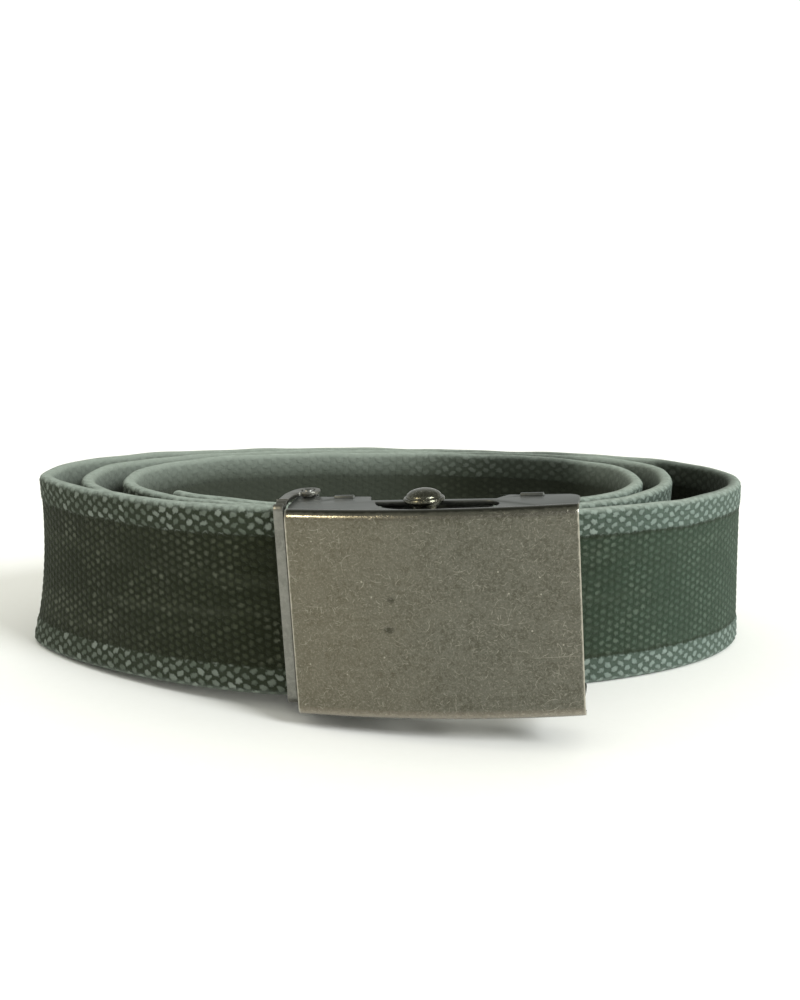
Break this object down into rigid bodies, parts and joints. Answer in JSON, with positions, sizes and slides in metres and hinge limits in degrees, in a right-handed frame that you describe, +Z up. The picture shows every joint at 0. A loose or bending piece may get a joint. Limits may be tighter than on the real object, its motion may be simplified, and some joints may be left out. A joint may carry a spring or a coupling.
{
  "type": "coiled cotton web belt with a metal box-frame buckle",
  "caption": "Flat woven waist strap coiled on its lower edge, with a bowed metal plate buckle whose round bar slides in two slots to lock the free end.",
  "frame": {"origin": "under the middle of the whole belt, on the surface that it stands on", "axes": "+Z up from the strap's lower edge, +X along the coil's longer side, -Y towards the buckle's side"},
  "size_m": [0.1606, 0.1246, 0.0469],
  "materials": {
    "web": "dark olive cotton webbing, worn pale along both edges",
    "plate": "antiqued steel, mottled and finely scratched",
    "frame": "satin grey steel",
    "clamp": "dark worn steel",
    "bar": "polished dark steel with worn rims"
  },
  "bodies": {
    "belt": {"web_strap": "web", "front_plate": "plate", "frame": "frame", "end_clamp": "clamp", "clamp_pin": "clamp"},
    "bar": {"lock_bar": "bar"}
  },
  "joints": [
    {"name": "bar_slide", "type": "slide", "parent": "belt", "child": "bar", "axis": [0.9806, -0.1767, 0.0845], "range_m": [-0.0046, 0.0112]}
  ]
}
